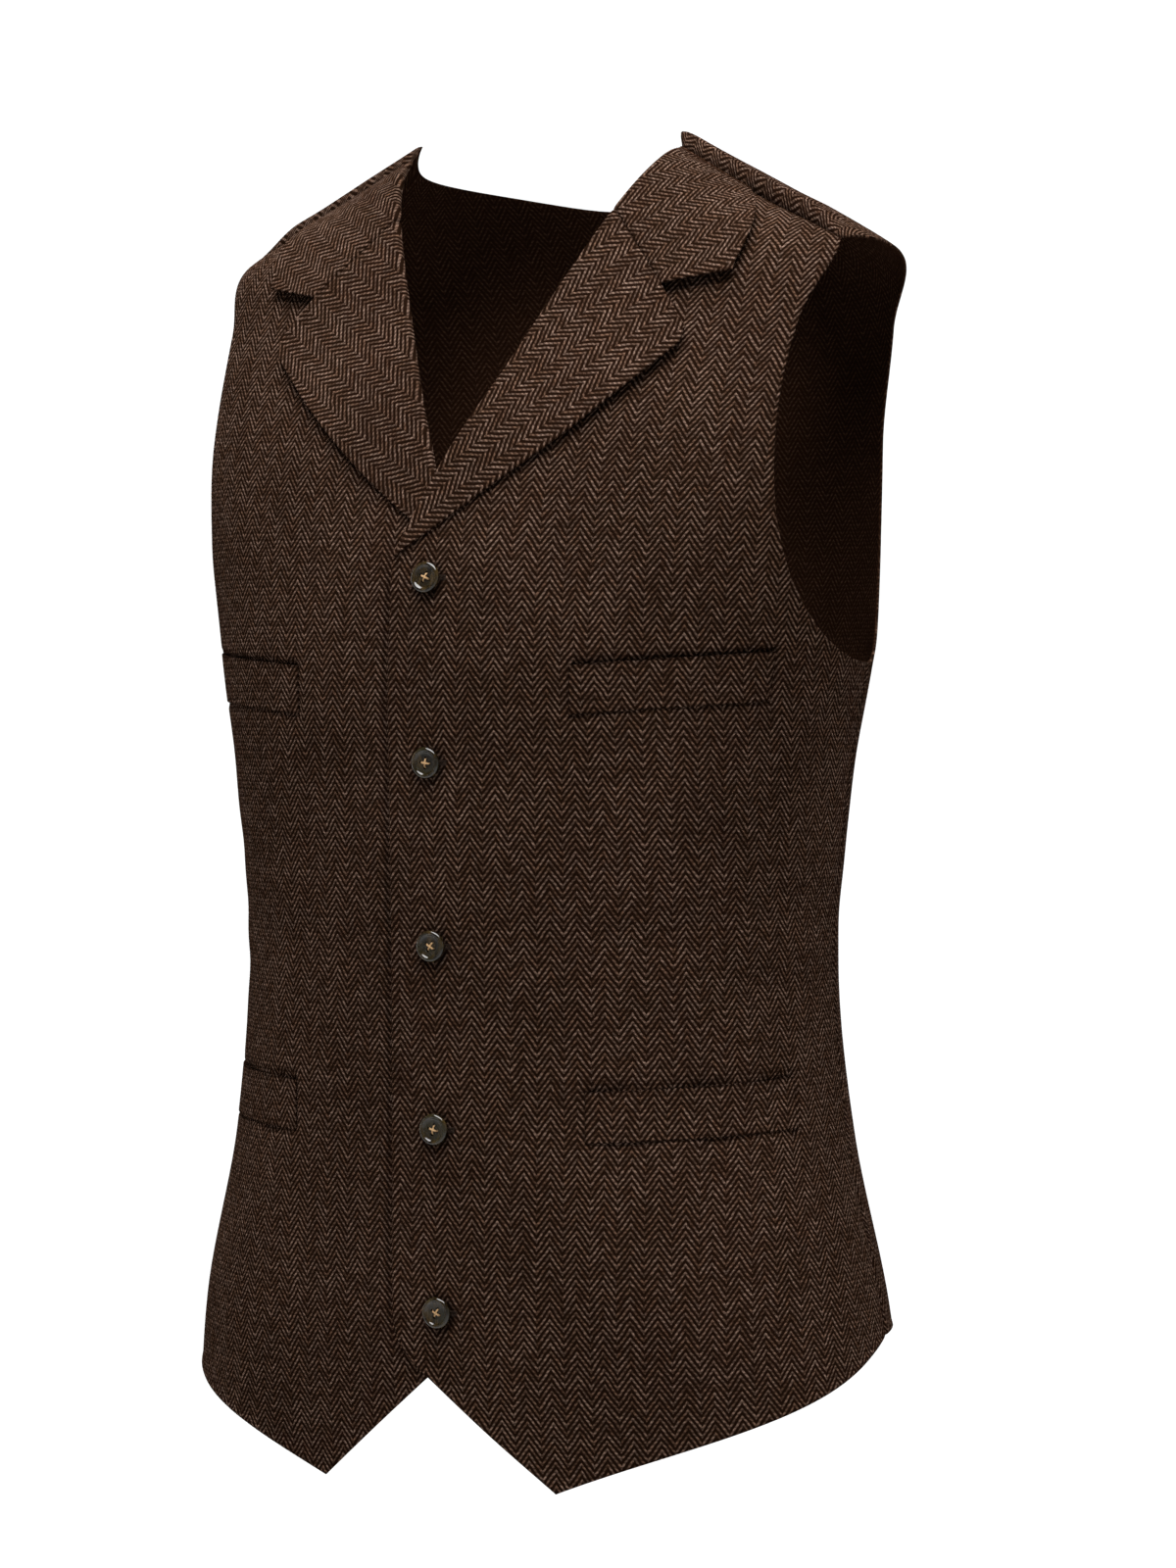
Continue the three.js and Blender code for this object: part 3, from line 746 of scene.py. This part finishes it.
# Materials
class Nodes:
    """Short names for adding and joining the nodes of one material."""

    def __init__(self, name):
        self.material = bpy.data.materials.new(name)
        self.material.use_nodes = True
        self.tree = self.material.node_tree
        self.shader = self.tree.nodes["Principled BSDF"]

    def link(self, value, socket):
        if isinstance(value, bpy.types.NodeSocket):
            self.tree.links.new(value, socket)
        else:
            socket.default_value = value

    def math(self, operation, a, b=0.0, c=0.0, clamp=False):
        node = self.tree.nodes.new("ShaderNodeMath")
        node.operation, node.use_clamp = operation, clamp
        for value, socket in zip((a, b, c), node.inputs):
            self.link(value, socket)
        return node.outputs[0]

    def ramp(self, value, low, high):
        node = self.tree.nodes.new("ShaderNodeMapRange")
        node.interpolation_type = "SMOOTHSTEP"
        for socket, given in zip(("Value", "From Min", "From Max"), (value, low, high)):
            self.link(given, node.inputs[socket])
        return node.outputs["Result"]

    def wave(self, turns):
        return self.math("COSINE", self.math("MULTIPLY", turns, 2 * math.pi))

    def spread(self, value, low, high):
        """A value from 0 to 1, spread to lie from low to high."""
        return self.math("MULTIPLY_ADD", value, high - low, low)

    def blend(self, share, a, b):
        node = self.tree.nodes.new("ShaderNodeMix")
        node.data_type = "RGBA"
        colour_a, colour_b, colour_out = node.inputs[6], node.inputs[7], node.outputs[2]
        for value, socket in ((share, node.inputs["Factor"]), (a, colour_a), (b, colour_b)):
            self.link(value, socket)
        return colour_out

    def noise(self, vector, scale, detail=2.0, roughness=0.5):
        node = self.tree.nodes.new("ShaderNodeTexNoise")
        self.link(vector, node.inputs["Vector"])
        self.link(scale, node.inputs["Scale"])
        self.link(detail, node.inputs["Detail"])
        self.link(roughness, node.inputs["Roughness"])
        return node.outputs["Fac"]

    def chance(self, vector):
        node = self.tree.nodes.new("ShaderNodeTexWhiteNoise")
        self.link(vector, node.inputs["Vector"])
        return node.outputs["Value"]

    def vector(self, x, y, z=0.0):
        node = self.tree.nodes.new("ShaderNodeCombineXYZ")
        for value, socket in zip((x, y, z), node.inputs):
            self.link(value, socket)
        return node.outputs[0]

    def bump(self, height, distance, strength):
        node = self.tree.nodes.new("ShaderNodeBump")
        for value, socket in ((height, "Height"), (distance, "Distance"), (strength, "Strength")):
            self.link(value, node.inputs[socket])
        return node.outputs["Normal"]


def tweed(name, light, pale, dark, contrast=1.0):
    """Herringbone tweed: pale yarn floats in slanting ribs over a dark ground."""
    n = Nodes(name)
    place = n.tree.nodes.new("ShaderNodeUVMap")
    place.uv_map = "weave"
    parts = n.tree.nodes.new("ShaderNodeSeparateXYZ")
    n.link(place.outputs["UV"], parts.inputs[0])
    across, along = (n.math("MULTIPLY", parts.outputs[i], 1 / MM) for i in (0, 1))
    flat = n.vector(across, along)

    # The yarns wander a little
    reach = YARN_WANDER["across"]
    x = n.math("ADD", across, n.spread(n.noise(flat, 0.11), -reach, reach))
    reach = YARN_WANDER["along"]
    y = n.math("ADD", along, n.spread(n.noise(n.vector(along, across, 7.0), 0.16), -reach, reach))

    # Ribs slant one way in one column and back in the next
    zigzag = n.math("PINGPONG", x, COLUMN)
    rib = n.math("DIVIDE", n.math("MULTIPLY_ADD", zigzag, RIB_SLOPE, y), RIB)
    ribs = n.ramp(n.wave(rib), -0.25, 0.9)

    # Each float of pale yarn is a short dash, brighter or duller than the next
    row = n.math("DIVIDE", y, ROW)
    dashes = n.math("MULTIPLY_ADD", n.wave(row), 0.36, 0.64)
    nearest_rib = n.math("ROUND", rib)
    own = n.vector(nearest_rib, n.math("ROUND", row), n.math("FLOOR", n.math("DIVIDE", x, COLUMN)))
    fuzz = n.noise(flat, 1.9, 3.0, 0.75)
    weave = n.math("MULTIPLY", ribs, dashes)
    strength = n.math("MULTIPLY", weave, n.spread(n.chance(own), 0.45, 1.35))
    strength = n.math("MULTIPLY", strength, n.ramp(fuzz, 0.25, 0.65))
    strength = n.math("MULTIPLY", strength, contrast, clamp=True)

    # Colour: heathered pale yarn, nearly black ground, slow changes over the cloth, and painted shadow taken
    # from each point's shade
    streak = n.vector(nearest_rib, n.math("ROUND", n.math("DIVIDE", x, PALE_STREAK)), 9.0)
    cloth = n.blend(strength, dark, n.blend(n.chance(streak), light, pale))
    # painted shade: the share of its colour that each point keeps where shadow is painted on the cloth
    shaded = n.tree.nodes.new("ShaderNodeAttribute")
    shaded.attribute_name = "shade"
    slow = n.spread(n.noise(flat, 0.012, 1.0), 0.75, 1.25)
    # scales the colour by the slow changes and by the painted shade
    tone_and_painted_shade = n.tree.nodes.new("ShaderNodeVectorMath")
    tone_and_painted_shade.operation = "SCALE"
    n.link(cloth, tone_and_painted_shade.inputs[0])
    n.link(n.math("MULTIPLY", slow, shaded.outputs["Fac"]), tone_and_painted_shade.inputs["Scale"])
    n.link(tone_and_painted_shade.outputs[0], n.shader.inputs["Base Color"])

    height = n.math("MULTIPLY_ADD", fuzz, 0.5, weave)
    n.link(n.bump(height, 0.25 * MM, 0.7), n.shader.inputs["Normal"])
    n.shader.inputs["Roughness"].default_value = 1.0
    n.shader.inputs["Specular IOR Level"].default_value = 0.0
    return n.material


YARN_TAN = (0.102, 0.0555, 0.0355, 1)
YARN_PALE = (0.17, 0.11, 0.083, 1)
GROUND = (0.0066, 0.003, 0.0016, 1)
GROUND_REVERSE = (0.012, 0.005, 0.0025, 1)
HORN_DARK = (0.006, 0.004, 0.0015, 1)
HORN_STREAK = (0.034, 0.021, 0.007, 1)
HORN_CLOUD = (0.012, 0.01, 0.004, 1)

tweed_face = tweed("tweed_face", YARN_TAN, YARN_PALE, GROUND)
tweed_reverse = tweed("tweed_reverse", YARN_TAN, YARN_TAN, GROUND_REVERSE, contrast=0.45)


def horn():
    """Dark streaked horn with a high polish."""
    n = Nodes("button_horn")
    place = n.tree.nodes.new("ShaderNodeTexCoord")
    stretch = n.tree.nodes.new("ShaderNodeMapping")
    stretch.inputs["Scale"].default_value = (1.0, 1.0, 0.35)
    n.link(place.outputs["Object"], stretch.inputs["Vector"])
    streaks = n.noise(stretch.outputs[0], 260.0, 4.0, 0.6)
    clouds = n.noise(place.outputs["Object"], 90.0, 2.0)
    base = n.blend(n.ramp(streaks, 0.4, 0.7), HORN_DARK, HORN_STREAK)
    base = n.blend(n.ramp(clouds, 0.45, 0.7), base, HORN_CLOUD)
    n.link(base, n.shader.inputs["Base Color"])
    n.link(n.bump(streaks, 0.02 * MM, 0.3), n.shader.inputs["Normal"])
    n.shader.inputs["Roughness"].default_value = 0.09
    n.shader.inputs["Specular IOR Level"].default_value = 0.3
    return n.material


def thread(name, base, pale):
    """Twisted sewing thread."""
    n = Nodes(name)
    place = n.tree.nodes.new("ShaderNodeTexCoord")
    twist = n.noise(place.outputs["Object"], 2600.0, 2.0)
    n.link(n.blend(n.ramp(twist, 0.35, 0.65), base, pale), n.shader.inputs["Base Color"])
    n.link(n.bump(twist, 0.05 * MM, 0.6), n.shader.inputs["Normal"])
    n.shader.inputs["Roughness"].default_value = 0.8
    n.shader.inputs["Specular IOR Level"].default_value = 0.1
    return n.material


button_horn = horn()
thread_tan = thread("thread_tan", (0.2, 0.115, 0.05, 1), (0.46, 0.3, 0.16, 1))
thread_brown = thread("thread_brown", (0.007, 0.003, 0.0015, 1), (0.016, 0.009, 0.005, 1))

# Buttons: a raised rim round a dish with four holes
BUTTON_PROFILE = [
    (0, 0), (6.3, 0), (7.4, 0.35), (7.9, 1.0), (8.0, 1.55), (7.8, 2.15), (7.35, 2.65), (6.75, 2.95),
    (6.3, 2.9), (5.9, 2.6), (5.6, 2.2), (5.2, 1.95), (4.5, 1.8), (2.5, 1.68), (0, 1.64),
]
BUTTON_STEPS = 72
BUTTON_TURNS = (22, 38, 12, 30, 17)  # degrees, how each button happens to be turned
HOLE_RADIUS = 0.85
HOLE_OFFSET = 1.7
SHARP = 40  # degrees from which an edge of a button is sharp
THREAD_RADIUS = 0.2
THREAD_RISE = 1.9  # height of the lower bundle of thread over the back of the button


def button_mesh():
    shape = bmesh.new()
    rings = []
    for r, h in BUTTON_PROFILE:
        if r == 0:
            rings.append([shape.verts.new((0, 0, h * MM))] * BUTTON_STEPS)
            continue
        angles = [2 * math.pi * i / BUTTON_STEPS for i in range(BUTTON_STEPS)]
        rings.append([shape.verts.new((r * math.cos(a) * MM, r * math.sin(a) * MM, h * MM)) for a in angles])
    for low, high in zip(rings, rings[1:]):
        for i in range(BUTTON_STEPS):
            j = (i + 1) % BUTTON_STEPS
            corners = dict.fromkeys([low[i], low[j], high[j], high[i]])
            shape.faces.new(list(corners))
    bmesh.ops.recalc_face_normals(shape, faces=shape.faces)
    mesh = bpy.data.meshes.new("button")
    shape.to_mesh(mesh)
    shape.free()
    body = add_object("button_body", mesh)
    pins = bmesh.new()
    for x in (-1, 1):
        for y in (-1, 1):
            spot = Matrix.Translation((x * HOLE_OFFSET * MM, y * HOLE_OFFSET * MM, 0))
            radius = HOLE_RADIUS * MM
            bmesh.ops.create_cone(
                pins, cap_ends=True, segments=20, radius1=radius, radius2=radius, depth=12 * MM, matrix=spot
            )
    pin_mesh = bpy.data.meshes.new("pins")
    pins.to_mesh(pin_mesh)
    pins.free()
    pin_object = add_object("pins", pin_mesh)
    cut = body.modifiers.new("holes", "BOOLEAN")
    cut.operation, cut.object, cut.solver = "DIFFERENCE", pin_object, "EXACT"
    bpy.context.view_layer.update()
    done = bpy.data.meshes.new_from_object(body.evaluated_get(bpy.context.evaluated_depsgraph_get()))
    bpy.data.objects.remove(body)
    bpy.data.objects.remove(pin_object)
    for polygon in done.polygons:
        polygon.use_smooth = True
    edged = bmesh.new()
    edged.from_mesh(done)
    for e in edged.edges:
        e.smooth = not (len(e.link_faces) == 2 and e.calc_face_angle() > math.radians(SHARP))
    edged.to_mesh(done)
    edged.free()
    return done


def tubes(name, paths, radius, material, sides=8):
    """Thin round threads along lists of points, all in one mesh, in millimetres."""
    vertices, faces = [], []
    for path in paths:
        path = np.asarray(path, float)
        along = unit(np.gradient(path, axis=0))
        aside = unit(np.cross(along, (0.31, 0.17, 0.93)))  # a direction that no thread runs in
        other = np.cross(along, aside)
        start = len(vertices)
        for p, a, b in zip(path, aside, other):
            for k in range(sides):
                angle = 2 * math.pi * k / sides
                vertices.append(p + radius * (a * math.cos(angle) + b * math.sin(angle)))
        for i in range(len(path) - 1):
            for k in range(sides):
                j = (k + 1) % sides
                low, high = start + i * sides, start + (i + 1) * sides
                faces.append([low + k, low + j, high + j, high + k])
        last = start + (len(path) - 1) * sides
        faces.append([start + k for k in reversed(range(sides))])
        faces.append([last + k for k in range(sides)])
    mesh = bpy.data.meshes.new(name)
    mesh.from_pydata([tuple(v * MM) for v in np.array(vertices)], [], faces)
    mesh.polygons.foreach_set("use_smooth", [True] * len(mesh.polygons))
    mesh.materials.append(material)
    return add_object(name, mesh)


def axes_at(place, right, up, out):
    return Matrix.Translation(Vector(place)) @ Matrix((right, up, out)).transposed().to_4x4()


def button_frame(i):
    """Where button i sits on the left front: its place, and the directions out, across and up."""
    phi, z = on_front([button_place(i)])[0]
    phi, z = np.array([phi]), np.array([z])
    out = form_normal(phi, z)[0]
    across = unit(np.cross((0.0, 0.0, 1.0), out))
    middle = cloth_point(phi, z, np.array([THREAD_ROOM]), True)[0]
    return middle, out, across, np.cross(out, across)


def button_threads(middle, right, top, out):
    """Two crossed bundles that rise over the middle of the dish and dive into opposite holes."""
    paths = []
    t = np.linspace(-1, 1, 13)[:, None]
    for k, (a, b) in enumerate(((1, 1), (1, -1))):
        ahead = unit(a * right + b * top)
        aside = np.cross(out, ahead)
        for strand in (-0.3, 0.0, 0.3):
            reach = t * HOLE_OFFSET * math.sqrt(2) * 1.04
            rise = THREAD_RISE + 0.35 * k + 0.15 * (1 - strand * strand) - 1.5 * np.abs(t) ** 6
            paths.append(middle + ahead * reach + aside * strand * (1 - 0.3 * t**2) + out * rise)
    return paths


def add_buttons():
    shape = button_mesh()
    for i in range(BUTTON_COUNT):
        middle, out, across, up = button_frame(i)
        turn = math.radians(BUTTON_TURNS[i])
        right = across * math.cos(turn) + up * math.sin(turn)
        top = np.cross(out, right)
        mesh = shape.copy()
        mesh.transform(axes_at(middle * MM, right, top, out))
        mesh.materials.clear()
        mesh.materials.append(button_horn)
        placed(add_object(f"button_{i + 1}_horn", mesh), f"button_{i + 1}")
        paths = button_threads(middle, right, top, out)
        placed(tubes(f"button_{i + 1}_thread", paths, THREAD_RADIUS, thread_tan), None)


# Buttonholes: a slit from under the button towards the wearer's left, with stitched lips
SLIT_FROM = -4.0
SLIT_TO = 10.4
STITCH_STEP = 0.55
STITCH_RADIUS = 0.17
STITCH_LEAN = 0.12
LIP = dict(start=0.15, width=1.25)  # how far from the slit its stitches start, and how long they are


def add_buttonholes():
    d = np.linspace(0, 1, 6)
    for i in range(BUTTON_COUNT):
        x0, z0 = button_place(i)
        paths = []
        for side in (-1, 1):
            for s in np.arange(SLIT_FROM, SLIT_TO, STITCH_STEP):
                xs, zs = x0 + s + STITCH_LEAN * side * d, z0 + side * (LIP["start"] + LIP["width"] * d)
                place = on_front(np.stack([xs, zs], -1))
                off = 0.18 * np.sin(math.pi * np.clip(d * 1.05, 0, 1)) + 0.02
                paths.append(cloth_point(place[:, 0], place[:, 1], off, True))
        for s in np.linspace(-1.1, 1.1, 5):
            xs, zs = x0 + SLIT_TO + 0.7 * d, z0 + s + 0 * d
            place = on_front(np.stack([xs, zs], -1))
            paths.append(cloth_point(place[:, 0], place[:, 1], 0.1 * np.sin(math.pi * d), True))
        lips = tubes(f"buttonhole_{i + 1}_stitches", paths, STITCH_RADIUS, thread_brown, sides=6)
        placed(lips, None)


def build_cloth():
    front_grid = front_cells(rows=330, across=120)
    back_grid = back_cells(rows=200, across=90)
    front_flat = round_and_up(front_grid[..., 0], front_grid[..., 1])
    back_flat = round_and_up(back_grid[..., 0], back_grid[..., 1])
    half_round = round_and_up(np.full(back_grid.shape[:2], math.pi), back_grid[..., 1])[..., 0]
    back_flat[..., 0] = half_round - back_flat[..., 0]  # the weave of the back starts at its middle
    for side in ("left", "right"):
        front = panel("front", side, front_grid, front_flat)
        back = panel("back", side, back_grid, back_flat)
        lapel(side)
        collar(side)
        for kind in WELTS:
            welt(kind, side)


# Camera at the photograph's angle
CAMERA_AZIMUTH = 28.705
CAMERA_ELEVATION = 0.982
CAMERA_ROLL = 0.101
CAMERA_DISTANCE = 2.6754
CAMERA_TARGET = Vector((0.02058, 0, -0.32885))
CAMERA_LENS = 116.52


def add_camera():
    azimuth, elevation = math.radians(CAMERA_AZIMUTH), math.radians(CAMERA_ELEVATION)
    level = math.cos(elevation)
    back = Vector((math.sin(azimuth) * level, -math.cos(azimuth) * level, math.sin(elevation)))
    right = Vector((math.cos(azimuth), math.sin(azimuth), 0))
    up = back.cross(right)
    roll = math.radians(CAMERA_ROLL)
    right, up = right * math.cos(roll) + up * math.sin(roll), up * math.cos(roll) - right * math.sin(roll)
    data = bpy.data.cameras.new("camera")
    data.lens = CAMERA_LENS
    data.clip_start, data.clip_end = 0.05, 50
    camera = add_object("camera", data)
    camera.matrix_world = axes_at(CAMERA_TARGET + back * CAMERA_DISTANCE, right, up, back)
    bpy.context.scene.camera = camera


# Studio: a round pale sweep of floor and wall, and lights inside it
FLOOR_Z = -1.5
SWEEP_RADIUS = 7.0
SWEEP_BEND = 2.2
SWEEP_TOP = 4.5
SWEEP_STEPS = 96
PAPER = ((0.61, 0.61, 0.61, 1), (0.63, 0.63, 0.63, 1))


def add_studio():
    bend = [math.pi / 2 * i / 24 for i in range(25)]
    profile = [(0.01, FLOOR_Z)]
    for a in bend:
        radius = SWEEP_RADIUS - SWEEP_BEND + SWEEP_BEND * math.sin(a)
        profile.append((radius, FLOOR_Z + SWEEP_BEND - SWEEP_BEND * math.cos(a)))
    profile.append((SWEEP_RADIUS, SWEEP_TOP))
    turns = [2 * math.pi * i / SWEEP_STEPS for i in range(SWEEP_STEPS)]
    vertices = [(r * math.cos(a), r * math.sin(a), z) for r, z in profile for a in turns]
    faces = []
    for ring in range(len(profile) - 1):
        low, high = ring * SWEEP_STEPS, (ring + 1) * SWEEP_STEPS
        for i in range(SWEEP_STEPS):
            j = (i + 1) % SWEEP_STEPS
            faces.append((low + j, low + i, high + i, high + j))
    mesh = bpy.data.meshes.new("studio_sweep")
    mesh.from_pydata(vertices, [], faces)
    mesh.polygons.foreach_set("use_smooth", [True] * len(mesh.polygons))
    sweep = add_object("studio_sweep", mesh)
    pale = Nodes("studio_paper")
    tooth = pale.noise(pale.tree.nodes.new("ShaderNodeTexCoord").outputs["Object"], 40.0)
    pale.link(pale.blend(tooth, *PAPER), pale.shader.inputs["Base Color"])
    pale.shader.inputs["Roughness"].default_value = 0.9
    mesh.materials.append(pale.material)

    world = bpy.data.worlds.new("daylight")
    bpy.context.scene.world = world
    world.use_nodes = True
    sky = world.node_tree.nodes["Background"]
    sky.inputs["Color"].default_value = (1, 1, 1, 1)
    sky.inputs["Strength"].default_value = 0.06

    lights = [
        dict(name="above", place=(0.3, -0.8, 3.0), aim=(0, 0, -0.35), size=(3.0, 3.0), power=530),
        dict(name="tall_right", place=(2.2, 0.1, -0.2), aim=(0, 0, -0.35), size=(0.16, 1.7), power=4),
        dict(name="tall_left", place=(-2.2, 0.2, -0.2), aim=(0, 0, -0.35), size=(0.16, 1.7), power=5),
        dict(name="wall_wash", place=(-1.6, 2.2, 3.4), aim=(-3.1, 5.8, 0.0), size=(6.0, 1.2), power=290),
    ]
    for item in lights:
        data = bpy.data.lights.new(item["name"], "AREA")
        data.shape = "RECTANGLE"
        data.size, data.size_y = item["size"]
        data.energy = item["power"]
        light = add_object(item["name"], data)
        light.location = item["place"]
        direction = Vector(item["aim"]) - Vector(item["place"])
        light.rotation_mode = "QUATERNION"
        light.rotation_quaternion = direction.to_track_quat("-Z", "Y")
    bpy.context.scene.view_settings.view_transform = "Standard"


add_camera()
build_cloth()
add_buttons()
add_buttonholes()
add_studio()
